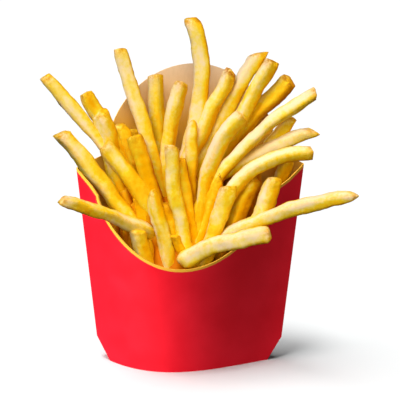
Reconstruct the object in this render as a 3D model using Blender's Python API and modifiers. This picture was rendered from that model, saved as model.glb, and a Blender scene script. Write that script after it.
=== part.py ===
"""French fries standing in a folded paperboard scoop carton.

Frame: metres, +Z up, the scooped front faces -Y, and the origin is the middle of the base.
The dimensions below are in millimetres, and MM turns them into metres.
"""

import math
import random

import bmesh
import bpy
from mathutils import Vector

MM = 0.001

# Carton: one blank whose front, base and back are a single strip, glued up its two side creases.
BOARD = 0.6
RIM_HALF_WIDTH = 54.0
BASE_HALF_WIDTH = 44.0
CREASE_TOP = 96.0
FRONT_BOW = (21.0, 27.5)  # how far the front bulges, at the base and at the crease top
BACK_BOW = (20.0, 24.0)
FRONT_SKEW = -0.5  # the front bulges more on its -X side
RIM_TWIST = 8.0  # the -X wing leans forward by this much and the +X wing back
GUSSET_HEIGHT = 10.6  # the side creases end this far above the table
SHOULDER = (46.4, 89.2)  # where a wing's straight edge meets the scoop, across and up
SCOOP_CENTRE = -1.8
SCOOP_HALF_WIDTH = 41.3
SCOOP_BOTTOM = 51.9
SCOOP_TOP = 85.2
SCOOP_POWER = 1.4  # 1 makes the scoop half an ellipse, and more makes it narrower below
ARCH_RADIUS = 40.4
ARCH_TOP = 141.0
WING_STEPS = 5
SCOOP_STEPS = 18
PANEL_ROWS = 5
BASE_ROWS = 4

# Core of the heap, which fills the carton and rises inside the fan of fries: height and share of the carton.
CORE_LEVELS = (
    (1.4, 0.0),
    (1.4, 0.78),
    (13.0, 0.9),
    (30.0, 0.92),
    (45.0, 0.92),
    (53.0, 0.8),
    (66.0, 0.62),
    (80.0, 0.42),
    (88.0, 0.0),
)
CORE_SIDES = 24

# Fry: a square stick with its long edges chamfered, bent along a quadratic curve.
FRY_LENGTH_STEPS = 5
FRY_CHAMFER = 0.16  # share of the width
ROLL_RANGE = 40.0  # degrees
END_SLANT = 0.35
SEED = 11

# Each fry that shows: tip, foot, width, how far the middle bulges towards +X, and where along it bends most.
FRIES = {
    "left_high": ((-68, -4, 138), (-9, -3, 65), 7.2, 0.0, 0.5),
    "left_low": ((-60, -11, 113), (-14, -9, 51), 8.0, 0.5, 0.5),
    "left_over_rim": ((-58, -42, 88), (-13, -7, 61), 7.4, 2.0, 0.4),
    "left_far": ((-50, -2, 130), (-13, 3, 68), 6.6, 0.0, 0.5),
    "left_blunt": ((-43, -3, 122), (-29, -2, 62), 8.2, 0.5, 0.5),
    "left_square_end": ((-40, -8, 107), (-6, -9, 60), 9.0, 0.0, 0.5),
    "left_shaded": ((-34, 1, 115), (-13, 2, 62), 7.6, 0.0, 0.5),
    "left_deep": ((-28, 7, 111), (-18, 7, 65), 6.4, 0.0, 0.5),
    "left_tall": ((-34, 4, 150), (-7, -2, 60), 7.8, 0.0, 0.5),
    "left_pale": ((-27, -8, 111), (-9, -9, 60), 7.8, 0.5, 0.5),
    "middle_back": ((-18, 10, 137), (-14, 7, 62), 7.8, 0.5, 0.5),
    "front_left": ((-18, -16, 87), (-9, -16, 45), 8.0, 0.5, 0.5),
    "front_left_short": ((-24, -20, 69), (-19, -18, 44), 7.6, 0.0, 0.5),
    "front_inner": ((-12, -12, 80), (0, -13, 48), 6.8, 0.0, 0.5),
    "front_broken": ((-7, -17, 66), (2, -15, 45), 5.0, 0.0, 0.5),
    "left_well": ((-33, -4, 84), (-22, -5, 50), 8.4, 0.0, 0.5),
    "left_well_front": ((-24, -9, 83), (-17, -10, 48), 7.6, 0.0, 0.5),
    "wavy": ((-5, 2, 135), (-11, 0, 60), 7.0, -4.0, 0.5),
    "tallest": ((1, 6, 165), (-17, 3, 62), 9.0, 8.8, 0.35),
    "front_long": ((-10, -14, 108), (2, -15, 48), 7.0, -1.5, 0.5),
    "thin": ((-5, -10, 101), (6, -11, 50), 6.4, -1.0, 0.5),
    "middle_slim": ((1, -4, 118), (5, -5, 58), 6.2, -2.5, 0.45),
    "right_spotted": ((18, 2, 141), (-17, -1, 66), 7.0, 0.0, 0.5),
    "right_inner": ((17, 9, 123), (0, 6, 64), 8.2, -1.0, 0.5),
    "right_pointed": ((31, 6, 149), (-9, 4, 64), 8.0, -2.5, 0.45),
    "right_brown_end": ((37, 2, 146), (-4, 0, 66), 7.0, 0.0, 0.5),
    "right_curved": ((23, -7, 122), (5, -10, 60), 7.8, -7.0, 0.35),
    "right_golden": ((46, 8, 136), (-8, 4, 80), 8.8, 0.0, 0.5),
    "right_long": ((57, -4, 132), (-3, -10, 60), 7.0, -9.0, 0.5),
    "right_shaded": ((47, 2, 119), (9, 0, 67), 7.2, 0.0, 0.5),
    "right_slim": ((57, -2, 114), (5, -3, 86), 6.6, -2.0, 0.5),
    "right_arched": ((56, -9, 105), (10, -14, 62), 7.0, -13.0, 0.45),
    "right_blunt": ((18, -14, 89), (6, -14, 48), 8.6, 0.0, 0.5),
    "right_brown_tip": ((14, -10, 94), (2, -12, 52), 6.6, 0.0, 0.5),
    "right_gold_front": ((29, -7, 92), (15, -9, 50), 8.6, -1.0, 0.5),
    "right_well": ((39, -12.5, 93), (30.5, -13.6, 68.5), 8.6, 0.0, 0.5),
    "right_wing": ((46, 7, 97), (33, 5, 58), 7.2, 0.0, 0.5),
    "right_over_rim": ((76, -30, 89), (12, -13, 61), 7.2, -4.5, 0.5),
    "front_low": ((36.5, -26, 70), (-4, -20, 55), 8.8, -2.0, 0.5),
}

# Shorter fries packed behind those, on a spiral: shares are of the carton's width and depth there.
PACKED_COUNT = 42
PACKED_SPREAD = 0.78
PACKED_DEPTH = (-0.55, 0.55)
PACKED_TIP = (57.0, 104.0)  # at the front and at the back of the spiral
PACKED_FOOT = 50.0
PACKED_WIDTH = (6.4, 8.2)
GOLDEN_ANGLE = math.radians(137.5)


def between(pair, share):
    return pair[0] + (pair[1] - pair[0]) * share


def half_width(z):
    """Half the distance between the side creases at height z."""
    return between((BASE_HALF_WIDTH, RIM_HALF_WIDTH), z / CREASE_TOP)


def panel_depth(side, x, z):
    """Y of the board's outer face: side -1 is the front panel and +1 the back panel."""
    share = x / half_width(z)
    bow = between(FRONT_BOW if side < 0 else BACK_BOW, z / CREASE_TOP)
    skew = 1 + FRONT_SKEW * share if side < 0 else 1
    return side * bow * (1 - share * share) * skew + RIM_TWIST * share * z / CREASE_TOP


def front_outline():
    """Across and up along the front's cut edge, from the -X wing tip to the +X wing tip."""
    wing = []
    for step in range(WING_STEPS):
        share = step / WING_STEPS
        wing.append((between((RIM_HALF_WIDTH, SHOULDER[0]), share), between((CREASE_TOP, SHOULDER[1]), share)))
    wing.append(SHOULDER)
    scoop = []
    for step in range(SCOOP_STEPS + 1):
        angle = math.pi * (step / SCOOP_STEPS - 0.5)
        across = SCOOP_CENTRE + SCOOP_HALF_WIDTH * math.sin(angle)
        up = SCOOP_TOP - (SCOOP_TOP - SCOOP_BOTTOM) * abs(math.cos(angle)) ** SCOOP_POWER
        scoop.append((across, up))
    return [(-x, z) for x, z in wing] + scoop + wing[::-1]


def arch_height(x):
    """Height of the back panel's cut edge: a half circle that runs out into the two wings."""
    across = abs(x)
    foot = ARCH_TOP - ARCH_RADIUS
    if across < ARCH_RADIUS:
        rise = math.sqrt(ARCH_RADIUS**2 - across**2)
        return foot + rise
    run = (across - ARCH_RADIUS) / (RIM_HALF_WIDTH - ARCH_RADIUS)
    return foot - (foot - CREASE_TOP) * min(1, run)


def back_top(share):
    """Height at which the back panel's ruling at this share of the width reaches the cut edge."""
    low, high = CREASE_TOP, ARCH_TOP
    for _ in range(40):
        middle = (low + high) / 2
        if arch_height(share * half_width(middle)) > middle:
            low = middle
        else:
            high = middle
    return low


def fold_height(share, corner):
    """Height of the fold under a ruling: 0 along the base, rising along the gusset to the crease's end."""
    return GUSSET_HEIGHT * max(0, abs(share) - corner) / (1 - corner)


def board_point(side, share, z):
    x = share * half_width(z)
    return Vector((x, panel_depth(side, x, z), z))


def strip_of(share, front_top, corner):
    """The blank's strip at one share of the width: down the front, across the base and up the back."""
    fold = fold_height(share, corner)
    front, back = board_point(-1, share, fold), board_point(1, share, fold)
    points = []
    for row in range(PANEL_ROWS):
        points.append(board_point(-1, share, between((front_top, fold), row / PANEL_ROWS)))
    for row in range(BASE_ROWS + 1):
        points.append(front.lerp(back, row / BASE_ROWS))
    for row in range(1, PANEL_ROWS + 1):
        points.append(board_point(1, share, between((fold, back_top(share)), row / PANEL_ROWS)))
    return points


def plain_material(name, colour, roughness):
    material = bpy.data.materials.new(name)
    material.use_nodes = True
    shader = material.node_tree.nodes["Principled BSDF"]
    shader.inputs["Base Color"].default_value = (*colour, 1)
    shader.inputs["Roughness"].default_value = roughness
    shader.inputs["Metallic"].default_value = 0
    return material


def object_from(name, mesh_maker, material, collection):
    mesh = bpy.data.meshes.new(name)
    mesh_maker.to_mesh(mesh)
    mesh_maker.free()
    mesh.materials.append(material)
    made = bpy.data.objects.new(name, mesh)
    collection.objects.link(made)
    return made


def make_carton(collection):
    outline = front_outline()
    shares = [x / half_width(z) for x, z in outline]
    corner = abs(shares[WING_STEPS])
    strips = [strip_of(share, top[1], corner) for share, top in zip(shares, outline)]
    columns, rows = len(strips) - 1, len(strips[0]) - 1
    maker = bmesh.new()
    bmesh.ops.create_grid(maker, x_segments=columns, y_segments=rows, size=1)
    for vertex in maker.verts:
        column = round((vertex.co.x + 1) / 2 * columns)
        row = round((vertex.co.y + 1) / 2 * rows)
        vertex.co = strips[column][rows - row] * MM
    bmesh.ops.remove_doubles(maker, verts=maker.verts, dist=0.01 * MM)
    bmesh.ops.recalc_face_normals(maker, faces=maker.faces)
    lowest = min(maker.faces, key=lambda face: face.calc_center_median().z)
    if lowest.normal.z > 0:
        bmesh.ops.reverse_faces(maker, faces=maker.faces)
    for edge in maker.edges:
        edge.smooth = not edge.is_boundary
    red = plain_material("red board", (0.72, 0.01, 0.03), 0.45)
    carton = object_from("carton", maker, red, collection)
    carton.data.shade_smooth()
    carton.data.set_sharp_from_angle(angle=math.radians(35))
    wall = carton.modifiers.new("board thickness", "SOLIDIFY")
    wall.thickness = BOARD * MM
    wall.offset = -1
    wall.use_even_offset = True
    wall.use_quality_normals = True
    return carton


def make_core(material, collection):
    """The closed filling under the fries: a sphere's rings, spread to the carton's own section."""
    maker = bmesh.new()
    levels = len(CORE_LEVELS) - 1
    bmesh.ops.create_uvsphere(maker, u_segments=CORE_SIDES, v_segments=levels, radius=1)
    for vertex in maker.verts:
        around = math.atan2(vertex.co.y, vertex.co.x)
        ring = round((math.asin(max(-1, min(1, vertex.co.z))) / math.pi + 0.5) * levels)
        height, fit = CORE_LEVELS[ring]
        x = half_width(height) * fit * math.cos(around)
        side = -1 if math.sin(around) < 0 else 1
        wall = panel_depth(side, x / fit if fit else 0, height)
        y = wall * fit
        vertex.co = Vector((x, y, height)) * MM
    bmesh.ops.remove_doubles(maker, verts=maker.verts, dist=0.01 * MM)
    bmesh.ops.recalc_face_normals(maker, faces=maker.faces)
    return object_from("fries", maker, material, collection)


def fry_curve(tip, foot, bulge, bend_at):
    """Point and direction along a fry, as a function of the share of its length from the tip."""
    tip, foot = Vector(tip), Vector(foot)
    chord = foot - tip
    sideways = Vector((-chord.z, 0, chord.x)).normalized()
    bend = tip + chord * bend_at + sideways * 2 * bulge

    def at(share):
        point = tip * (1 - share) ** 2 + bend * 2 * share * (1 - share) + foot * share**2
        direction = (bend - tip) * (1 - share) + (foot - bend) * share
        return point, direction.normalized()

    return at


def make_fry(name, row, draw, material, collection):
    """A stick whose square section is swept along its curve, with uneven sides and slanting ends."""
    tip, foot, width, bulge, bend_at = row
    curve = fry_curve(tip, foot, bulge, bend_at)
    roll = math.radians(draw.uniform(-ROLL_RANGE, ROLL_RANGE))
    sides = Vector((width * draw.uniform(0.9, 1.02), width * draw.uniform(0.86, 0.98)))
    slants = [(draw.uniform(-END_SLANT, END_SLANT), draw.uniform(-END_SLANT, END_SLANT)) for _ in range(2)]
    maker = bmesh.new()
    bmesh.ops.create_cube(maker, size=1)
    long_edges = [e for e in maker.edges if abs(e.verts[0].co.z - e.verts[1].co.z) > 0.5]
    bmesh.ops.bevel(
        maker,
        geom=long_edges,
        offset=FRY_CHAMFER,
        affect="EDGES",
        segments=1,
        profile=0.5,
        material=-1,
    )
    for step in range(1, FRY_LENGTH_STEPS):
        height = step / FRY_LENGTH_STEPS - 0.5
        everything = maker.verts[:] + maker.edges[:] + maker.faces[:]
        bmesh.ops.bisect_plane(maker, geom=everything, plane_co=(0, 0, height), plane_no=(0, 0, 1))
    for vertex in maker.verts:
        across, deep, along = vertex.co.x * sides.x, vertex.co.y * sides.y, vertex.co.z + 0.5
        point, direction = curve(along)
        right = direction.cross(Vector((0, 1, 0))).normalized()
        up = right.cross(direction)
        turned = right * (across * math.cos(roll) - deep * math.sin(roll))
        turned += up * (across * math.sin(roll) + deep * math.cos(roll))
        if along < 0.01 or along > 0.99:
            slant = slants[0] if along < 0.5 else slants[1]
            turned += direction * (across * slant[0] + deep * slant[1])
        vertex.co = (point + turned) * MM
    bmesh.ops.recalc_face_normals(maker, faces=maker.faces)
    return object_from(name, maker, material, collection)


def packed_rows(draw):
    """Rows like those of FRIES for the fries packed behind, inside the carton's own flare."""
    rows = {}
    for number in range(PACKED_COUNT):
        reach = math.sqrt((number + 0.5) / PACKED_COUNT)
        angle = number * GOLDEN_ANGLE
        across = PACKED_SPREAD * reach * math.cos(angle)
        deep = (1 + reach * math.sin(angle)) / 2
        ends = []
        for z in (between(PACKED_TIP, deep) + draw.uniform(-4, 4), PACKED_FOOT):
            x = across * half_width(z)
            front, back = panel_depth(-1, x, z), panel_depth(1, x, z)
            depth = between(PACKED_DEPTH, deep)
            middle, half = (front + back) / 2, (back - front) / 2
            ends.append((x, middle + depth * half, z))
        width = draw.uniform(*PACKED_WIDTH)
        rows[f"packed_{number}"] = (ends[0], ends[1], width, draw.uniform(-1.5, 1.5), 0.5)
    return rows


def keep_outer_skin(mesh):
    """Fills what fusing sealed in and drops loose scraps: only the skin round the most volume stays."""
    maker = bmesh.new()
    maker.from_mesh(mesh)
    islands, waiting = [], set(maker.faces)
    while waiting:
        island, edge_faces = set(), [waiting.pop()]
        while edge_faces:
            face = edge_faces.pop()
            island.add(face)
            near = {other for edge in face.edges for other in edge.link_faces} & waiting
            waiting -= near
            edge_faces.extend(near)
        islands.append(island)

    def volume(island):
        total = 0.0
        for face in island:
            first = face.verts[0].co
            for second, third in zip(face.verts[1:], face.verts[2:]):
                total += first.dot(second.co.cross(third.co))
        return total

    islands.sort(key=volume)
    for island in islands[:-1]:
        bmesh.ops.delete(maker, geom=list(island), context="FACES")
    maker.to_mesh(mesh)
    maker.free()


def make_fries(collection):
    """The heap as one solid: the core with every fry fused to it."""
    gold = plain_material("golden potato", (0.85, 0.58, 0.16), 0.55)
    core = make_core(gold, collection)
    loose = bpy.data.collections.new("loose fries")
    bpy.context.scene.collection.children.link(loose)
    draw = random.Random(SEED)
    for name, row in {**FRIES, **packed_rows(draw)}.items():
        make_fry(name, row, draw, gold, loose)
    fuse = core.modifiers.new("fuse", "BOOLEAN")
    fuse.operation = "UNION"
    fuse.operand_type = "COLLECTION"
    fuse.collection = loose
    fuse.solver = "EXACT"
    bpy.context.view_layer.update()
    graph = bpy.context.evaluated_depsgraph_get()
    fused = bpy.data.meshes.new_from_object(core.evaluated_get(graph))
    core.modifiers.remove(fuse)
    core.data = fused
    for fry in list(loose.objects):
        bpy.data.objects.remove(fry)
    bpy.data.collections.remove(loose)
    keep_outer_skin(core.data)
    return core


def main():
    for old in list(bpy.data.objects):
        bpy.data.objects.remove(old)
    collection = bpy.data.collections.new("fries in a carton")
    bpy.context.scene.collection.children.link(collection)
    make_carton(collection)
    make_fries(collection)


main()
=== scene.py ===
# %% [markdown]
# # French fries in a scoop carton
# The CAD model gives two plain solids: a folded carton and one fused heap of fries. Here each gets
# its real surface. The frame is loaded first, because every piece is made in its coordinates:
# metres, +Z up, the scooped front facing -Y, the origin in the middle of the carton's base.
# The tables are in millimetres, which are easier to read, and MM turns them into metres.

# %% Load the frame
import math
import random

import bmesh
import bpy
from mathutils import Matrix, Vector, noise


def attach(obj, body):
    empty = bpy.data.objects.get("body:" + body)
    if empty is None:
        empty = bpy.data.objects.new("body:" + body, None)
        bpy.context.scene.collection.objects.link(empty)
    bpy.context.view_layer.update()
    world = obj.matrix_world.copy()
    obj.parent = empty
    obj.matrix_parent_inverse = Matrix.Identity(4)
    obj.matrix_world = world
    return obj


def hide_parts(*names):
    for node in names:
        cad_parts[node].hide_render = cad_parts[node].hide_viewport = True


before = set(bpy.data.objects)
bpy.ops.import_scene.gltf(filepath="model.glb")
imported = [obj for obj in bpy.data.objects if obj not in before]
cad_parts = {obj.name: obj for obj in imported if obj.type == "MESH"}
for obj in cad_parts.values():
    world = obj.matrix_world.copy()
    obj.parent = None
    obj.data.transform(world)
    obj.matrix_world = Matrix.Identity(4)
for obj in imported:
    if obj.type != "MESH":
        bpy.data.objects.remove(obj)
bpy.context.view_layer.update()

MM = 0.001

# %% [markdown]
# ## The camera
# The photograph was taken straight on and from 14 degrees above, with a long lens and a very
# slight roll. A camera can be turned with Euler angles or aimed with a constraint. Building its
# three axes as vectors is clearer here, because the roll is then one more line.

# %% Place the camera
CAMERA_ELEVATION = math.radians(14)
CAMERA_ROLL = math.radians(0.8)
CAMERA_DISTANCE = 700 * MM
CAMERA_TARGET = Vector((4.3, 0, 79.2)) * MM
FOCAL_PIXELS = 1466
PHOTO_PIXELS = 400

backward = Vector((0, -math.cos(CAMERA_ELEVATION), math.sin(CAMERA_ELEVATION)))
level_right = Vector((1, 0, 0))
level_up = backward.cross(level_right)
right = level_right * math.cos(CAMERA_ROLL) + level_up * math.sin(CAMERA_ROLL)
up = backward.cross(right)
camera_data = bpy.data.cameras.new("camera")
camera_data.sensor_width = 36
camera_data.lens = FOCAL_PIXELS * camera_data.sensor_width / PHOTO_PIXELS
camera = bpy.data.objects.new("camera", camera_data)
bpy.context.scene.collection.objects.link(camera)
turn = Matrix((right, up, backward)).transposed()
camera.matrix_world = Matrix.Translation(CAMERA_TARGET + backward * CAMERA_DISTANCE) @ turn.to_4x4()
bpy.context.scene.camera = camera
print("lens, mm:", round(camera_data.lens, 1))

# %% [markdown]
# ## Small helpers for shaders
# Every finish below is a few textures mixed into one Principled shader. The helpers only save
# typing: one adds a node with its settings, one mixes two colours, one stretches a range.


# %% Define the shader helpers
def new_material(name):
    material = bpy.data.materials.new(name)
    material.use_nodes = True
    return material, material.node_tree, material.node_tree.nodes["Principled BSDF"]


def add_node(tree, kind, settings=None, inputs=None):
    made = tree.nodes.new("ShaderNode" + kind)
    for name, value in (settings or {}).items():
        setattr(made, name, value)
    for name, value in (inputs or {}).items():
        if isinstance(value, bpy.types.NodeSocket):
            tree.links.new(value, made.inputs[name])
        else:
            made.inputs[name].default_value = value
    return made


def noise_texture(tree, scale, detail=2.0, stretch=(1, 1, 1), roughness=0.5):
    where = add_node(tree, "TexCoord").outputs["Object"]
    mapped = add_node(tree, "Mapping", inputs={"Vector": where, "Scale": stretch})
    values = {"Vector": mapped.outputs[0], "Scale": scale, "Detail": detail, "Roughness": roughness}
    return add_node(tree, "TexNoise", inputs=values).outputs["Fac"]


def stretch_range(tree, value, low, high, to_low=0.0, to_high=1.0):
    inputs = {"Value": value, "From Min": low, "From Max": high, "To Min": to_low, "To Max": to_high}
    return add_node(tree, "MapRange", inputs=inputs).outputs["Result"]


def mix_colours(tree, factor, first, second, blend="MIX"):
    made = add_node(tree, "Mix", {"data_type": "RGBA", "blend_type": blend})
    for socket, value in ((made.inputs[0], factor), (made.inputs[6], first), (made.inputs[7], second)):
        if isinstance(value, bpy.types.NodeSocket):
            tree.links.new(value, socket)
        else:
            socket.default_value = value if isinstance(value, float) else (*value, 1)
    return made.outputs[2]


def combine(tree, operation, first, second):
    made = add_node(tree, "Math", {"operation": operation, "use_clamp": True})
    for socket, value in zip(made.inputs, (first, second)):
        if isinstance(value, bpy.types.NodeSocket):
            tree.links.new(value, socket)
        else:
            socket.default_value = value
    return made.outputs[0]


def add_bump(tree, shader, height, strength, distance):
    inputs = {"Height": height, "Strength": strength, "Distance": distance}
    tree.links.new(add_node(tree, "Bump", inputs=inputs).outputs["Normal"], shader.inputs["Normal"])


# %% [markdown]
# ## Red coated board
# The carton's outside is paperboard with a flat red print under a thin satin coating. The print
# is even, so nearly all of its variation is light. A faint mottle in the colour and the
# roughness, and a very fine grain in the bump, keep it from looking like plastic.

# %% Make the red board
red_board, tree, shader = new_material("red coated board")
mottle = noise_texture(tree, 60, 3.0)
grain = noise_texture(tree, 2600, 2.0)
blotches = stretch_range(tree, mottle, 0.3, 0.7)
red = mix_colours(tree, blotches, (0.68, 0.004, 0.014), (0.76, 0.006, 0.02))
tree.links.new(red, shader.inputs["Base Color"])
tree.links.new(stretch_range(tree, mottle, 0.25, 0.75, 0.40, 0.50), shader.inputs["Roughness"])
shader.inputs["Specular IOR Level"].default_value = 0.55
add_bump(tree, shader, grain, 0.12, 0.00005)
print("red board:", len(tree.nodes), "nodes")

# %% [markdown]
# ## Kraft board
# Inside, and on the narrow unprinted margin along the cut edges, the board is plain kraft: tan,
# with short darker fibres. Lower down it turns a warmer, deeper gold. Part of that is oil it has
# soaked up near the fries, and part is painted shade and painted gold light bounced from the fries.
# So the colour also changes with height.

# %% Make the kraft board
kraft_board, tree, shader = new_material("kraft board")
OIL_AND_SHADE_FROM, OIL_AND_SHADE_FULL = 0.141, 0.112  # metres above the base
where = add_node(tree, "TexCoord").outputs["Object"]
above = add_node(tree, "SeparateXYZ", inputs={"Vector": where}).outputs["Z"]
# painted shade and painted bounce light, mixed with oil: deeper gold towards the bottom
oil_and_shade = stretch_range(tree, above, OIL_AND_SHADE_FROM, OIL_AND_SHADE_FULL)
clean = mix_colours(tree, noise_texture(tree, 160, 3.0), (0.78, 0.55, 0.32), (0.82, 0.59, 0.36))
oily_and_shaded = mix_colours(tree, noise_texture(tree, 90, 3.0), (0.74, 0.36, 0.015), (0.79, 0.41, 0.025))
fibre = stretch_range(tree, noise_texture(tree, 900, 3.0, (1, 1, 0.4)), 0.35, 0.6, 0.08, 0.0)
plain = mix_colours(tree, oil_and_shade, clean, oily_and_shaded)
tree.links.new(mix_colours(tree, fibre, plain, (0.40, 0.22, 0.08)), shader.inputs["Base Color"])
shader.inputs["Roughness"].default_value = 0.75
add_bump(tree, shader, noise_texture(tree, 1400, 3.0, (1, 1, 0.3)), 0.3, 0.0001)
print("kraft board:", len(tree.nodes), "nodes")

# %% [markdown]
# ## The carton's form
# The real carton is one flat blank: a front panel with a concave scoop, a back panel with a
# rounded arch, and two side creases that join them. Folding bows both panels and leaves
# triangular gussets at the lower corners. It could be modelled as a cut cylinder, but then no
# edge would follow the scoop. Instead one grid is laid over the whole blank, so that its columns
# end exactly on the cut edges.

# %% Describe the blank
BOARD = 0.6
RIM_HALF_WIDTH = 54.0
BASE_HALF_WIDTH = 44.0
CREASE_TOP = 96.0
FRONT_BOW = (21.0, 27.5)
BACK_BOW = (20.0, 24.0)
FRONT_SKEW = -0.5
RIM_TWIST = 8.0
GUSSET_HEIGHT = 10.6
SHOULDER = (46.4, 89.2)
SCOOP_CENTRE = -1.8
SCOOP_HALF_WIDTH = 41.3
SCOOP_BOTTOM = 51.9
SCOOP_TOP = 85.2
SCOOP_POWER = 1.4  # 1 makes the scoop half an ellipse, and more makes it narrower below
ARCH_RADIUS = 40.4
ARCH_TOP = 141.0
GUSSET_CORNER = 0.87
MARGIN = 1.2  # unprinted board along the cut edges
WING_STEPS = 10
SCOOP_STEPS = 54
PANEL_ROWS = 16
BASE_ROWS = 4


def between(pair, share):
    return pair[0] + (pair[1] - pair[0]) * share


def half_width(z):
    return between((BASE_HALF_WIDTH, RIM_HALF_WIDTH), z / CREASE_TOP)


def panel_depth(side, x, z):
    share = x / half_width(z)
    bow = between(FRONT_BOW if side < 0 else BACK_BOW, z / CREASE_TOP)
    skew = 1 + FRONT_SKEW * share if side < 0 else 1
    return side * bow * (1 - share * share) * skew + RIM_TWIST * share * z / CREASE_TOP


def front_outline():
    wing = []
    for step in range(WING_STEPS):
        share = step / WING_STEPS
        x, z = between((RIM_HALF_WIDTH, SHOULDER[0]), share), between((CREASE_TOP, SHOULDER[1]), share)
        wing.append((x, z))
    wing.append(SHOULDER)
    scoop = []
    for step in range(SCOOP_STEPS + 1):
        angle = math.pi * (step / SCOOP_STEPS - 0.5)
        across = SCOOP_CENTRE + SCOOP_HALF_WIDTH * math.sin(angle)
        drop = (SCOOP_TOP - SCOOP_BOTTOM) * abs(math.cos(angle)) ** SCOOP_POWER
        scoop.append((across, SCOOP_TOP - drop))
    return [(-x, z) for x, z in wing] + scoop + wing[::-1]


def arch_height(x):
    foot = ARCH_TOP - ARCH_RADIUS
    across = abs(x)
    if across < ARCH_RADIUS:
        return foot + math.sqrt(ARCH_RADIUS**2 - across**2)
    run = (across - ARCH_RADIUS) / (RIM_HALF_WIDTH - ARCH_RADIUS)
    return foot - (foot - CREASE_TOP) * min(1, run)


def back_top(share):
    low, high = CREASE_TOP, ARCH_TOP
    for _ in range(40):
        middle = (low + high) / 2
        if arch_height(share * half_width(middle)) > middle:
            low = middle
        else:
            high = middle
    return low


def margin_line(edge):
    """The line that runs MARGIN below a cut edge, and never turns back on itself."""
    line = []
    for number, (x, z) in enumerate(edge):
        if number in (0, len(edge) - 1):
            low = z - MARGIN * 1.25
            line.append((math.copysign(half_width(low), x), low))
            continue
        along = Vector(edge[number + 1]) - Vector(edge[number - 1])
        along.normalize()
        line.append((x + along.y * MARGIN, z - along.x * MARGIN))
    for number in range(1, len(line) // 2):
        line[number] = (max(line[number][0], line[number - 1][0] + 0.02), line[number][1])
        line[-1 - number] = (min(line[-1 - number][0], line[-number][0] - 0.02), line[-1 - number][1])
    return line


def foot_shares():
    """Where each column meets the fold round the base, as a share of the width there."""
    wing = [between((1.0, GUSSET_CORNER), step / WING_STEPS) for step in range(WING_STEPS + 1)]
    inner = GUSSET_CORNER - 0.025
    scoop = [between((-inner, inner), step / SCOOP_STEPS) for step in range(SCOOP_STEPS + 1)]
    return [-share for share in wing] + scoop + wing[::-1]


front_edge = front_outline()
shares = foot_shares()
back_edge = [(share * half_width(back_top(share)), back_top(share)) for share in shares]
print("points along each cut edge:", len(shares), len(front_edge))

# %% [markdown]
# ## Folding the blank
# Each column of the grid runs down the front, across the base and up the back. Front and back
# have as many rows, so at the two side creases their vertices fall on each other and merge.


# %% Lay the grid over the blank
def panel_points(side, edge, margin, share):
    """Down one panel's column, from the cut edge to the fold."""
    fold = GUSSET_HEIGHT * max(0, abs(share) - GUSSET_CORNER) / (1 - GUSSET_CORNER)
    points = [Vector((edge[0], panel_depth(side, *edge), edge[1]))]
    start = margin[0] / half_width(margin[1])
    for row in range(PANEL_ROWS + 1):
        z = between((margin[1], fold), row / PANEL_ROWS)
        x = between((start, share), row / PANEL_ROWS) * half_width(z)
        points.append(Vector((x, panel_depth(side, x, z), z)))
    return points


columns = []
for lines in zip(front_edge, margin_line(front_edge), back_edge, margin_line(back_edge), shares):
    front = panel_points(-1, lines[0], lines[1], lines[4])
    back = panel_points(1, lines[2], lines[3], lines[4])
    base = [front[-1].lerp(back[-1], row / BASE_ROWS) for row in range(1, BASE_ROWS)]
    columns.append(front + base + back[::-1])

width, length = len(columns) - 1, len(columns[0]) - 1
blank = bmesh.new()
bmesh.ops.create_grid(blank, x_segments=width, y_segments=length, size=1)
for vertex in blank.verts:
    column = round((vertex.co.x + 1) / 2 * width)
    row = length - round((vertex.co.y + 1) / 2 * length)
    vertex.co = columns[column][row] * MM
    vertex.index = column * (length + 1) + row
print("blank:", len(blank.faces), "faces")

# %% [markdown]
# ## Printing and folding lines
# The first row of faces along each cut edge is the unprinted margin, so it gets the kraft slot.
# The folds round the base are marked sharp, and so is the cut edge itself: without that, the
# shading would run round the board's thickness.

# %% Finish the blank
CREASE_ANGLE = math.radians(50)
for face in blank.faces:
    rows = [vertex.index % (length + 1) for vertex in face.verts]
    face.material_index = 1 if max(rows) <= 1 or min(rows) >= length - 1 else 0
fold_rows = (PANEL_ROWS + 1, PANEL_ROWS + 1 + BASE_ROWS)
for edge in blank.edges:
    rows = [vertex.index % (length + 1) for vertex in edge.verts]
    on_fold = rows[0] == rows[1] and rows[0] in fold_rows
    edge.smooth = not (on_fold or edge.is_boundary)
bmesh.ops.remove_doubles(blank, verts=blank.verts, dist=0.01 * MM)
bmesh.ops.recalc_face_normals(blank, faces=blank.faces)
lowest = min(blank.faces, key=lambda face: face.calc_center_median().z)
if lowest.normal.z > 0:
    bmesh.ops.reverse_faces(blank, faces=blank.faces)
for face in blank.faces:
    face.smooth = True
for edge in blank.edges:
    if len(edge.link_faces) == 2 and edge.calc_face_angle() > CREASE_ANGLE:
        edge.smooth = False
print("side creases meet, vertices left:", len(blank.verts))

# %% [markdown]
# ## Two plies
# Paperboard is pressed from plies, and here it is made from two: a printed one outside and a kraft
# one inside, each half the board's thickness. One sheet with two materials would have the same
# form, but two plies can each get their own light later. Both come from the same blank. Solidify
# grows the first from the blank inwards, and sets the second behind it with a larger offset.

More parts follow.
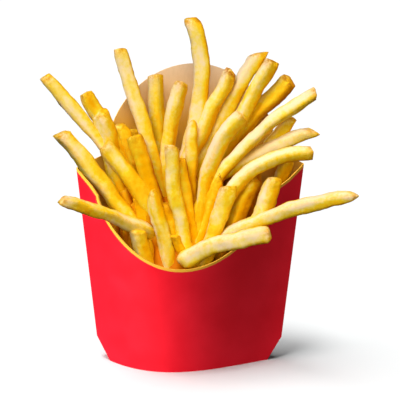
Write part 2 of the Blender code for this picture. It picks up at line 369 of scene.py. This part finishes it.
# %% Make the two plies
PLY_OFFSETS = {"printed_ply": -1, "kraft_ply": -3}
carton_mesh = bpy.data.meshes.new("folded_carton")
blank.to_mesh(carton_mesh)
blank.free()
carton_mesh.materials.append(red_board)
carton_mesh.materials.append(kraft_board)
carton = bpy.data.objects.new("printed_ply", carton_mesh)
bpy.context.scene.collection.objects.link(carton)
lining_mesh = carton_mesh.copy()
lining_mesh.name = "kraft_ply"
lining_mesh.materials.clear()
lining_mesh.materials.append(kraft_board)
lining = bpy.data.objects.new("kraft_ply", lining_mesh)
bpy.context.scene.collection.objects.link(lining)
for ply in (carton, lining):
    wall = ply.modifiers.new("ply thickness", "SOLIDIFY")
    wall.thickness = BOARD / 2 * MM
    wall.offset = PLY_OFFSETS[ply.name]
    wall.use_quality_normals = True
    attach(ply, "root")
    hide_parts("carton")
carton.modifiers[0].material_offset = 1
carton.modifiers[0].material_offset_rim = 1
print("carton:", len(carton_mesh.polygons), "faces before its thickness")

# %% [markdown]
# ## Fried potato
# A fry is pale and creamy where it is soft and deep gold where it is crisp: along its edges, at
# its ends, and on whichever side lay in the hotter oil. Those places are known when the mesh is
# made, so they are stored on it as attributes and the shader reads them back. The tone attribute
# also carries painted shade: deeper gold on the side away from the light, low down and inside the
# heap. Noise in object space adds the patches and specks that follow no edge. Tone runs through
# five colours, from cream to a deep orange brown, and the deepest is painted shade for the gaps. A
# little subsurface scattering softens the edges. More of it would be closer to real potato, but it
# gave the sticks a green tint here.

# %% Make the fried potato
fried_potato, tree, shader = new_material("fried potato")
tone = add_node(tree, "Attribute", {"attribute_name": "tone"}).outputs["Fac"]
crust = add_node(tree, "Attribute", {"attribute_name": "crust"}).outputs["Fac"]
brown = add_node(tree, "Attribute", {"attribute_name": "brown"}).outputs["Fac"]
patches = stretch_range(tree, noise_texture(tree, 65, 3.0, roughness=0.6), 0.4, 0.6, -0.25, 0.25)
specks = noise_texture(tree, 520, 4.0, roughness=0.65)
speckle = stretch_range(tree, specks, 0.3, 0.7, -0.16, 0.16)
golden = add_node(tree, "Math", {"operation": "ADD"}, {0: patches, 1: speckle}).outputs[0]
golden = add_node(tree, "Math", {"operation": "ADD"}, {0: golden, 1: tone}).outputs[0]
flesh = mix_colours(tree, stretch_range(tree, golden, -0.35, 0.05), (0.86, 0.775, 0.66), (0.85, 0.745, 0.26))
flesh = mix_colours(tree, stretch_range(tree, golden, 0.05, 0.4), flesh, (0.83, 0.665, 0.035))
flesh = mix_colours(tree, stretch_range(tree, golden, 0.4, 0.95), flesh, (0.86, 0.46, 0.001))
# painted shade: this deepest colour is the gold brown of the gaps
flesh = mix_colours(tree, stretch_range(tree, golden, 1.1, 1.8), flesh, (0.58, 0.18, 0.001))
crisp = combine(tree, "MULTIPLY", crust, stretch_range(tree, specks, 0.3, 0.65, 0.25, 1.0))
flesh = mix_colours(tree, crisp, flesh, (0.80, 0.485, 0.01))
toasted = combine(tree, "MULTIPLY", brown, stretch_range(tree, specks, 0.35, 0.6))
flesh = mix_colours(tree, toasted, flesh, (0.33, 0.12, 0.015))
tree.links.new(flesh, shader.inputs["Base Color"])
tree.links.new(stretch_range(tree, specks, 0.3, 0.7, 0.36, 0.56), shader.inputs["Roughness"])
shader.inputs["Specular IOR Level"].default_value = 0.12
shader.inputs["Specular Tint"].default_value = (1, 0.85, 0.4, 1)
shader.inputs["Subsurface Weight"].default_value = 0.08
shader.inputs["Subsurface Radius"].default_value = (1.0, 0.5, 0.1)
shader.inputs["Subsurface Scale"].default_value = 0.002
blisters = noise_texture(tree, 700, 4.0, roughness=0.6)
add_bump(tree, shader, blisters, 0.35, 0.0004)
print("fried potato:", len(tree.nodes), "nodes")

# %% [markdown]
# ## Where each fry lies
# The table gives each visible fry as in the CAD: tip, foot, width, how far its middle bulges
# towards +X, and where along it bends. The last number is its tone: about 0 or less for a pale
# fry, and towards 1 for a deep golden one. Each tone was matched to how its fry looks in this
# light. Besides the fry's own colour, it holds painted light and shade: fries that lie in shade
# are deeper, and some that the lights miss are paler. A physics drop could fill the carton, but it
# would never land in the photograph's pattern.

# %% List the fries
FRIES = {
    "left_high": ((-68, -4, 138), (-9, -3, 65), 7.2, 0.0, 0.5, 0.05),
    "left_low": ((-60, -11, 113), (-14, -9, 51), 8.0, 0.5, 0.5, 0.15),
    "left_over_rim": ((-58, -42, 88), (-13, -7, 61), 7.4, 2.0, 0.4, -0.40),
    "left_far": ((-50, -2, 130), (-13, 3, 68), 6.6, 0.0, 0.5, 0.25),
    "left_blunt": ((-43, -3, 122), (-29, -2, 62), 8.2, 0.5, 0.5, 0.30),
    "left_square_end": ((-40, -8, 107), (-6, -9, 60), 9.0, 0.0, 0.5, 0.15),
    "left_shaded": ((-34, 1, 115), (-13, 2, 62), 7.6, 0.0, 0.5, 0.70),
    "left_deep": ((-28, 7, 111), (-18, 7, 65), 6.4, 0.0, 0.5, 0.85),
    "left_tall": ((-34, 4, 150), (-7, -2, 60), 7.8, 0.0, 0.5, 0.20),
    "left_pale": ((-27, -8, 111), (-9, -9, 60), 7.8, 0.5, 0.5, 0.60),
    "middle_back": ((-18, 10, 137), (-14, 7, 62), 7.8, 0.5, 0.5, 0.45),
    "front_left": ((-18, -16, 87), (-9, -16, 45), 8.0, 0.5, 0.5, 0.25),
    "front_left_short": ((-24, -20, 69), (-19, -18, 44), 7.6, 0.0, 0.5, 0.20),
    "front_inner": ((-12, -12, 80), (0, -13, 48), 6.8, 0.0, 0.5, 0.70),
    "front_broken": ((-7, -17, 66), (2, -15, 45), 5.0, 0.0, 0.5, 0.70),
    "left_well": ((-33, -4, 84), (-22, -5, 50), 8.4, 0.0, 0.5, 0.90),
    "left_well_front": ((-24, -9, 83), (-17, -10, 48), 7.6, 0.0, 0.5, 0.70),
    "wavy": ((-5, 2, 135), (-11, 0, 60), 7.0, -4.0, 0.5, 0.35),
    "tallest": ((1, 6, 165), (-17, 3, 62), 9.0, 8.8, 0.35, 0.42),
    "front_long": ((-10, -14, 108), (2, -15, 48), 7.0, -1.5, 0.5, 0.15),
    "thin": ((-5, -10, 101), (6, -11, 50), 6.4, -1.0, 0.5, 0.60),
    "middle_slim": ((1, -4, 118), (5, -5, 58), 6.2, -2.5, 0.45, 0.35),
    "right_spotted": ((18, 2, 141), (-17, -1, 66), 7.0, 0.0, 0.5, 0.45),
    "right_inner": ((17, 9, 123), (0, 6, 64), 8.2, -1.0, 0.5, 0.90),
    "right_pointed": ((31, 6, 149), (-9, 4, 64), 8.0, -2.5, 0.45, 0.20),
    "right_brown_end": ((37, 2, 146), (-4, 0, 66), 7.0, 0.0, 0.5, 0.40),
    "right_curved": ((23, -7, 122), (5, -10, 60), 7.8, -7.0, 0.35, 0.30),
    "right_golden": ((46, 8, 136), (-8, 4, 80), 8.8, 0.0, 0.5, 0.70),
    "right_long": ((57, -4, 132), (-3, -10, 60), 7.0, -9.0, 0.5, 0.08),
    "right_shaded": ((47, 2, 119), (9, 0, 67), 7.2, 0.0, 0.5, 0.25),
    "right_slim": ((57, -2, 114), (5, -3, 86), 6.6, -2.0, 0.5, -0.10),
    "right_arched": ((56, -9, 105), (10, -14, 62), 7.0, -13.0, 0.45, -0.02),
    "right_blunt": ((18, -14, 89), (6, -14, 48), 8.6, 0.0, 0.5, 0.15),
    "right_brown_tip": ((14, -10, 94), (2, -12, 52), 6.6, 0.0, 0.5, 0.30),
    "right_gold_front": ((29, -7, 92), (15, -9, 50), 8.6, -1.0, 0.5, 0.30),
    "right_well": ((39, -12.5, 93), (30.5, -13.6, 68.5), 8.6, 0.0, 0.5, 0.30),
    "right_wing": ((46, 7, 97), (33, 5, 58), 7.2, 0.0, 0.5, 0.20),
    "right_over_rim": ((76, -30, 89), (12, -13, 61), 7.2, -4.5, 0.5, 0.15),
    "front_low": ((36.5, -26, 70), (-4, -20, 55), 8.8, -2.0, 0.5, -0.08),
}
print("fries that show:", len(FRIES))

# %% [markdown]
# ## Packed fries
# Behind those stand shorter ones that only show as gold between the others. Their deep tone is
# painted shade for the gaps between fries. A spiral with the golden angle spreads them evenly over
# the carton's section, without a table.

# %% Place the packed fries
PACKED_COUNT = 42
PACKED_SPREAD = 0.78
PACKED_DEPTH = (-0.55, 0.55)
PACKED_TIP = (57.0, 104.0)
PACKED_FOOT = 50.0
PACKED_WIDTH = (6.4, 8.2)
PACKED_BULGE = (-1.5, 1.5)
GOLDEN_ANGLE = math.radians(137.5)
# painted shade: packed fries only show in the gaps
PACKED_SHADE_TONE = 1.35
SEED = 11


def packed_rows(draw):
    rows = {}
    for number in range(PACKED_COUNT):
        reach = math.sqrt((number + 0.5) / PACKED_COUNT)
        angle = number * GOLDEN_ANGLE
        across = PACKED_SPREAD * reach * math.cos(angle)
        deep = (1 + reach * math.sin(angle)) / 2
        ends = []
        for z in (between(PACKED_TIP, deep) + draw.uniform(-4, 4), PACKED_FOOT):
            x = across * half_width(z)
            front, back = panel_depth(-1, x, z), panel_depth(1, x, z)
            depth = between(PACKED_DEPTH, deep)
            middle, half = (front + back) / 2, (back - front) / 2
            ends.append((x, middle + depth * half, z))
        width = draw.uniform(*PACKED_WIDTH)
        bulge = draw.uniform(*PACKED_BULGE)
        rows[f"packed_{number}"] = (ends[0], ends[1], width, bulge, 0.5, PACKED_SHADE_TONE)
    return rows


draw = random.Random(SEED)
all_rows = {**FRIES, **packed_rows(draw)}
print("fries in all:", len(all_rows))

# %% [markdown]
# ## One straight stick
# Every fry starts as the same stick: a cube whose four long edges are rounded by a bevel, whose
# ends are inset so that they can be domed, and which is cut into short lengths so that it can
# bend. It is made once and copied, which is much faster than bevelling each one. It also gets the
# three attributes that the fried potato reads.

# %% Make the stick
STICK_CUTS = 40
CORNER = 0.34  # of the stick's width
END_INSETS = (0.07, 0.12, 0.14)
stick = bmesh.new()
bmesh.ops.create_cube(stick, size=1)
long_edges = [edge for edge in stick.edges if abs(edge.verts[0].co.z - edge.verts[1].co.z) > 0.5]
bmesh.ops.bevel(
    stick,
    geom=long_edges,
    offset=CORNER,
    affect="EDGES",
    segments=3,
    profile=0.5,
    material=-1,
)
for axis in (Vector((1, 0, 0)), Vector((0, 1, 0))):
    everything = stick.verts[:] + stick.edges[:] + stick.faces[:]
    bmesh.ops.bisect_plane(stick, geom=everything, plane_co=(0, 0, 0), plane_no=axis)
ends = [face for face in stick.faces if abs(face.normal.z) > 0.9]
inner_edges = [edge for edge in stick.edges if all(face in ends for face in edge.link_faces)]
bmesh.ops.dissolve_edges(stick, edges=inner_edges)
long_edges = [edge for edge in stick.edges if abs(edge.verts[0].co.z - edge.verts[1].co.z) > 0.5]
bmesh.ops.subdivide_edges(stick, edges=long_edges, cuts=STICK_CUTS, use_grid_fill=True)
for share in END_INSETS:
    ends = [face for face in stick.faces if len(face.verts) > 4]
    bmesh.ops.inset_individual(stick, faces=ends, thickness=share, depth=0)
bmesh.ops.recalc_face_normals(stick, faces=stick.faces)
ATTRIBUTES = ("tone", "crust", "brown")
for name in ATTRIBUTES:
    stick.verts.layers.float.new(name)
print("stick:", len(stick.verts), "vertices")

# %% [markdown]
# ## A fry's colour
# Tone rises on the side away from the light, low in the heap and deep inside it. That is painted
# shade. It stands in for the shadow there, and for light that bounces between fries and gets deeper
# gold each time. A renderer could find that by itself with many bounces, but painting it on the
# mesh stays the same at any setting. Crust follows the four long edges and the ends, and is
# stronger low down. Brown is for the few tips that got too hot, and for the rim of each end.


# %% Colour one vertex
KEY_SIDE = Vector((-0.66, -0.45, 0.6)).normalized()  # where the light comes from
TONE_START = -0.12
TONE_OF_HOT_SIDE = 0.15
TONE_OF_STREAKS = 0.6
# painted shade: tone added away from the light, low down and inside the heap
TONE_OF_SHADE = 1.6
SHADE_MIDDLE = 0.42
TONE_OF_BURIED_SHADE = 1.0
TONE_OF_LOW_SHADE = 0.42
LOW, HIGH = 92.0, 144.0  # between these heights a fry goes from deep gold to pale
BURIED_TOP, BURIED_LOW = 102.0, 62.0  # the same for fries inside the heap
BURIED_FRONT, BURIED_BACK = -15.0, -7.0  # how far back the inside of the heap begins
CRUST_AT_ENDS = 0.8
BROWN_RIM = 0.4
BROWN_REACH = 2.6  # millimetres that a brown tip fades over
BROWN_TIPS = {
    "right_brown_tip": 1.0,
    "right_spotted": 0.9,
    "right_brown_end": 0.6,
    "right_golden": 0.5,
    "right_over_rim": 0.6,
    "tallest": 0.45,
    "wavy": 0.35,
}


def share_of(value, low, high):
    return max(0, min(1, (value - low) / (high - low)))


def colour_vertex(vertex, layers, look, spot, faces_fry, faces_world, middle):
    """Spot is the place on the stick, and middle the point of the fry's curve beside it."""
    tone, hot_side, tip_brown, place = look
    u, v, run, end = spot
    tone_layer, crust_layer, brown_layer = layers
    # painted shade on the side away from the light, low down and deep in the heap
    shaded = 0.5 - 0.5 * faces_world.dot(KEY_SIDE)
    buried_shade = share_of(-middle.z, -BURIED_TOP, -BURIED_LOW) * share_of(middle.y, BURIED_FRONT, BURIED_BACK)
    lift = share_of(middle.z, LOW, HIGH)
    streak = noise.noise(Vector((run / 15, u * 1.3, v * 1.3)) + place)
    vertex[tone_layer] = tone + TONE_OF_HOT_SIDE * math.cos(math.atan2(v, u) - hot_side)
    vertex[tone_layer] += TONE_OF_LOW_SHADE * (1 - lift) + TONE_OF_BURIED_SHADE * buried_shade
    vertex[tone_layer] += TONE_OF_STREAKS * streak + TONE_OF_SHADE * (shaded - SHADE_MIDDLE)
    edge = share_of(min(abs(u), abs(v)), 0.4, 0.8)
    patch = 0.5 + 0.9 * noise.noise(Vector((run / 9, 0, 5)) + place + faces_fry)
    crisp_edge = edge * (0.35 + 0.7 * patch) * (1.1 - 0.7 * lift)
    vertex[crust_layer] = max(0, min(1, crisp_edge + CRUST_AT_ENDS * math.exp(-end / 1.5)))
    rim = max(0, max(abs(u), abs(v)) - 0.7) / 0.3 * math.exp(-end / 1.2)
    vertex[brown_layer] = tip_brown * math.exp(-run / BROWN_REACH) + BROWN_RIM * rim


# %% [markdown]
# ## Bending it into a fry
# The stick's own coordinates say where a vertex is along and across the fry. Along it, a
# quadratic curve gives the bend. Across it, slow noise changes the thickness, the middle of each
# side sinks a little as it does when the wet inside steams out, and quick noise adds blisters.
# The ends are cut on a slant and domed. The draws for roll, sides and slants come in the CAD's
# order, so every fry keeps the form of its solid. SHAPED_TIPS is for ends that the photograph
# shows well: how steeply the end is cut, how much it narrows to a point, and how far it hooks.


# %% Bend a copy of the stick
ROLL_RANGE = 40.0
END_SLANT = 0.35
TWIST_RANGE = 14.0
SWELL, SWELL_LENGTH = 0.2, 19.0
LUMPS, LUMP_LENGTH = 0.08, 6.5
WOBBLE, WOBBLE_LENGTH = 1.1, 14.0
BLISTERS, BLISTER_SIZE = 0.36, 3.4
GRAINS, GRAIN_SIZE = 0.2, 1.3
DOME = 0.8
SHAPED_TIPS = {
    "right_pointed": (-1.1, 0.1, 0.0),
    "right_over_rim": (0.5, 0.7, 0.0),
    "right_brown_tip": (0.3, 0.75, 0.0),
    "right_slim": (-1.0, 0.3, 0.0),
    "right_arched": (-0.4, 0.0, 0.0),
    "middle_slim": (0.3, 0.55, 0.0),
    "front_left": (-0.2, 0.5, 0.0),
    "tallest": (0.35, 0.0, -2.6),
    "left_over_rim": (0.5, 0.3, 0.0),
}


def fry_curve(tip, foot, bulge, bend_at):
    tip, foot = Vector(tip), Vector(foot)
    chord = foot - tip
    sideways = Vector((-chord.z, 0, chord.x)).normalized()
    bend = tip + chord * bend_at + sideways * 2 * bulge

    def at(share):
        point = tip * (1 - share) ** 2 + bend * 2 * share * (1 - share) + foot * share**2
        direction = (bend - tip) * (1 - share) + (foot - bend) * share
        return point, direction.normalized()

    return at, chord.length


def bend_fry(name, row, draw, fine_draw):
    tip, foot, width, bulge, bend_at, tone = row
    curve, length = fry_curve(tip, foot, bulge, bend_at)
    roll = math.radians(draw.uniform(-ROLL_RANGE, ROLL_RANGE))
    sides = (width * draw.uniform(0.9, 1.02), width * draw.uniform(0.86, 0.98))
    slant_draws = [draw.uniform(-END_SLANT, END_SLANT) for _ in range(4)]
    place = Vector([fine_draw.uniform(-90, 90) for _ in range(3)])
    twist = math.radians(fine_draw.uniform(-TWIST_RANGE, TWIST_RANGE))
    hot_side = fine_draw.uniform(0, 2 * math.pi)
    sink = fine_draw.uniform(0.04, 0.14)
    narrowing, narrow_over = fine_draw.uniform(0.04, 0.22), fine_draw.uniform(0.6, 1.6)
    tone += TONE_START + fine_draw.uniform(-0.1, 0.1)
    tip_brown = BROWN_TIPS.get(name, fine_draw.uniform(0, 0.35) if name in FRIES else 0)
    slope, point_share, hook = SHAPED_TIPS.get(name, (0, 0, 0))
    fry = stick.copy()
    layers = [fry.verts.layers.float[key] for key in ATTRIBUTES]
    for vertex in fry.verts:
        u, v, along = vertex.co.x * 2, vertex.co.y * 2, vertex.co.z + 0.5
        run = along * length
        end = min(run, length - run)
        slow = Vector((run / SWELL_LENGTH, 0, 0)) + place
        lumps = LUMPS * noise.noise(Vector((run / LUMP_LENGTH, 9, 0)) + place)
        swell_across = 1 + SWELL * noise.noise(slow) + lumps
        swell_deep = 1 + SWELL * noise.noise(slow + Vector((0, 7, 0))) - lumps / 2
        taper = (1 - narrowing * math.exp(-end / narrow_over)) * (1 - point_share * math.exp(-run / 3.5))
        across = u * (1 - sink * (1 - v * v)) * swell_across * taper * sides[0] / 2
        deep = v * (1 - sink * (1 - u * u)) * swell_deep * taper * sides[1] / 2
        spot = Vector((across, deep, run))
        bump = BLISTERS * noise.noise(spot / BLISTER_SIZE + place)
        bump += GRAINS * noise.noise(spot / GRAIN_SIZE + place)
        outward = Vector((u, v, 0))
        if outward.length > 0.01:
            outward.normalize()
            across += outward.x * bump
            deep += outward.y * bump
        turn = roll + twist * (along - 0.5)
        point, direction = curve(along)
        to_right = direction.cross(Vector((0, 1, 0))).normalized()
        to_back = to_right.cross(direction)
        wobble = Vector((run / WOBBLE_LENGTH, 3, 0)) + place
        sideways = across * math.cos(turn) - deep * math.sin(turn)
        moved = to_right * (sideways + WOBBLE * noise.noise(wobble) + hook * math.exp(-run / 6))
        moved += to_back * (across * math.sin(turn) + deep * math.cos(turn))
        slant = slant_draws[:2] if along < 0.5 else slant_draws[2:]
        moved += direction * (across * slant[0] + deep * slant[1]) * math.exp(-end / 4)
        moved += direction * sideways * slope * math.exp(-run / 5)
        if end < 0.001:
            dome = DOME * (1 - max(abs(u), abs(v)) ** 2) + 0.35 * noise.noise(spot / 1.7 + place)
            moved += direction * (dome if along > 0.5 else -dome)
        vertex.co = (point + moved) * MM
        outside = to_right * (outward.x * math.cos(turn) - outward.y * math.sin(turn))
        outside += to_back * (outward.x * math.sin(turn) + outward.y * math.cos(turn))
        look = (tone, hot_side, tip_brown, place)
        colour_vertex(vertex, layers, look, (u, v, run, end), outward, outside, point)
    return fry


# %% [markdown]
# ## The heap as one piece
# All fries go into one mesh: they share a finish, they never move apart, and one piece exports
# better than eighty-one. Each is bent in a mesh of its own first, because that keeps its noise and
# its draws apart from its neighbours'.

# %% Bend every fry
fine_draw = random.Random(SEED + 1)
heap = bmesh.new()
for name, row in all_rows.items():
    fry = bend_fry(name, row, draw, fine_draw)
    scratch = bpy.data.meshes.new("scratch")
    fry.to_mesh(scratch)
    fry.free()
    heap.from_mesh(scratch)
    bpy.data.meshes.remove(scratch)
bmesh.ops.recalc_face_normals(heap, faces=heap.faces)
for face in heap.faces:
    face.smooth = True
print("heap:", sum(len(face.verts) - 2 for face in heap.faces), "triangles")

# %% Keep the fries
fries_mesh = bpy.data.meshes.new("loose_fries")
heap.to_mesh(fries_mesh)
heap.free()
stick.free()
fries_mesh.materials.append(fried_potato)
fries = bpy.data.objects.new("loose_fries", fries_mesh)
bpy.context.scene.collection.objects.link(fries)
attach(fries, "root")
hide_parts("fries")
print("fries:", len(fries_mesh.vertices), "vertices")

# %% [markdown]
# ## The core under the fries
# The bottom of the carton is full of fries that nobody sees. A core with the carton's section
# stands in for them. Its very deep tone is painted shade, so it only shows as dark gold between the
# sticks.

# %% Make the core
CORE_LEVELS = (
    (1.4, 0.0),
    (1.4, 0.78),
    (13.0, 0.9),
    (30.0, 0.92),
    (45.0, 0.90),
    (53.0, 0.7),
    (66.0, 0.5),
    (80.0, 0.34),
    (86.0, 0.0),
)
CORE_SIDES = 64
# painted shade: the core only shows as dark gaps
CORE_SHADE_TONE = 2.0
RIDGE = 0.08
core = bmesh.new()
levels = len(CORE_LEVELS) - 1
bmesh.ops.create_uvsphere(core, u_segments=CORE_SIDES, v_segments=levels, radius=1)
for vertex in core.verts:
    around = math.atan2(vertex.co.y, vertex.co.x)
    ring = round((math.asin(max(-1, min(1, vertex.co.z))) / math.pi + 0.5) * levels)
    level, fit = CORE_LEVELS[ring]
    x = half_width(level) * fit * math.cos(around)
    side = -1 if math.sin(around) < 0 else 1
    vertex.co = Vector((x, panel_depth(side, x / fit if fit else 0, level) * fit, level)) * MM
bmesh.ops.remove_doubles(core, verts=core.verts, dist=0.01 * MM)
bmesh.ops.subdivide_edges(core, edges=core.edges, cuts=2, use_grid_fill=True)
for vertex in core.verts:
    ridges = noise.noise(Vector((vertex.co.x / MM / 3.4, vertex.co.y / MM / 3.4, vertex.co.z / MM / 30)))
    vertex.co += Vector((vertex.co.x, vertex.co.y, 0)) * (ridges - 0.5) * RIDGE
bmesh.ops.recalc_face_normals(core, faces=core.faces)
core_tone = core.verts.layers.float.new("tone")
for vertex in core.verts:
    vertex[core_tone] = CORE_SHADE_TONE
for face in core.faces:
    face.smooth = True
core_mesh = bpy.data.meshes.new("packed_core")
core.to_mesh(core_mesh)
core.free()
core_mesh.materials.append(fried_potato)
filling = bpy.data.objects.new("packed_core", core_mesh)
bpy.context.scene.collection.objects.link(filling)
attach(filling, "root")
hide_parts("fries")
print("core:", len(core_mesh.polygons), "faces")

# %% [markdown]
# ## Floor
# The photograph is a pack shot on pure white. The camera sees a nearly white floor with a trace of
# glow, which brings it to clean white. Other rays see a dark one: a white floor would throw light
# up under the fries and wash out the gold in their gaps.

# %% Set the stage
FLOOR_GLOW = 0.01
FLOOR_TO_LIGHT = (0.03, 0.03, 0.03)
FLOOR_TO_CAMERA = (0.935, 0.95, 0.95)
floor_mesh = bpy.data.meshes.new("floor")
floor_maker = bmesh.new()
bmesh.ops.create_grid(floor_maker, x_segments=1, y_segments=1, size=6)
floor_maker.to_mesh(floor_mesh)
floor_maker.free()
floor = bpy.data.objects.new("floor", floor_mesh)
bpy.context.scene.collection.objects.link(floor)
floor_paint, tree, shader = new_material("white floor")
shader.inputs["Roughness"].default_value = 0.9
shader.inputs["Specular IOR Level"].default_value = 0.0
shader.inputs["Emission Color"].default_value = (1, 1, 1, 1)
seen = add_node(tree, "LightPath").outputs["Is Camera Ray"]
tree.links.new(combine(tree, "MULTIPLY", seen, FLOOR_GLOW), shader.inputs["Emission Strength"])
paint = mix_colours(tree, seen, FLOOR_TO_LIGHT, FLOOR_TO_CAMERA)
tree.links.new(paint, shader.inputs["Base Color"])
floor_mesh.materials.append(floor_paint)
print("floor:", floor.name, "with glow", FLOOR_GLOW)

# %% [markdown]
# ## Light
# The light comes from one large soft source high on the left, with white all round to fill the
# shadows. Sun lamps with wide angles give such soft edges and do not get weaker with distance. In
# a studio every surface gets its own share of key and fill from cards and reflectors. Here light
# linking does that: each sun lights only the pieces in its list, and some are blocked only by the
# carton. The fries' fills are warm, like light that has bounced between them. The floor's two suns
# put a tight dark core and a wide soft shadow to the lower right.

# %% Set the lights
world = bpy.data.worlds.new("studio")
world.use_nodes = True
world.node_tree.nodes["Background"].inputs["Color"].default_value = (1, 1, 1, 1)
world.node_tree.nodes["Background"].inputs["Strength"].default_value = 0.04
bpy.context.scene.world = world


def add_sun(name, strength, angle, azimuth, elevation, lit, blockers=None, colour=(1, 1, 1)):
    """Azimuth 0 shines from the camera's side and -90 from the left. Only the pieces in lit get it."""
    data = bpy.data.lights.new(name, "SUN")
    data.energy = strength
    data.color = colour
    data.angle = math.radians(angle)
    lamp = bpy.data.objects.new(name, data)
    bpy.context.scene.collection.objects.link(lamp)
    round_it, above_it = math.radians(azimuth), math.radians(elevation)
    flat = Vector((math.sin(round_it), -math.cos(round_it), 0))
    towards = flat * math.cos(above_it) + Vector((0, 0, math.sin(above_it)))
    lamp.rotation_mode = "QUATERNION"
    lamp.rotation_quaternion = towards.to_track_quat("Z", "Y")
    receivers = bpy.data.collections.new(name + " receivers")
    for piece in lit:
        receivers.objects.link(piece)
    lamp.light_linking.receiver_collection = receivers
    if blockers:
        shades = bpy.data.collections.new(name + " blockers")
        for piece in blockers:
            shades.objects.link(piece)
        lamp.light_linking.blocker_collection = shades


add_sun("key on the carton", 8.8, 31, -51, 36, (carton,), (carton, lining))
add_sun("key on the fries", 2.3, 36, -32, 50, (fries, filling))
add_sun("fill on the carton", 0.36, 150, -5, 40, (carton,), (carton, lining))
add_sun("key on the lining", 2.6, 44, -10, 40, (lining,))
add_sun("fill on the lining", 1.8, 90, 40, 35, (lining,))
add_sun("front fill", 0.8, 70, -5, 35, (fries, filling), colour=(1, 0.88, 0.45))
add_sun("warm fill on the fries", 2.6, 150, 35, 30, (fries, filling), colour=(1, 0.63, 0.005))
add_sun("floor key from the left", 2.03, 38, -110, 66, (floor,), (carton, lining))
add_sun("floor key from above", 1.49, 18, -54, 77, (floor,), (carton, lining))
bpy.data.lights["fill on the carton"].specular_factor = 0  # its gleam would grey the shaded red
bpy.context.scene.view_settings.view_transform = "Standard"
print("lights:", [light.name for light in bpy.data.lights])
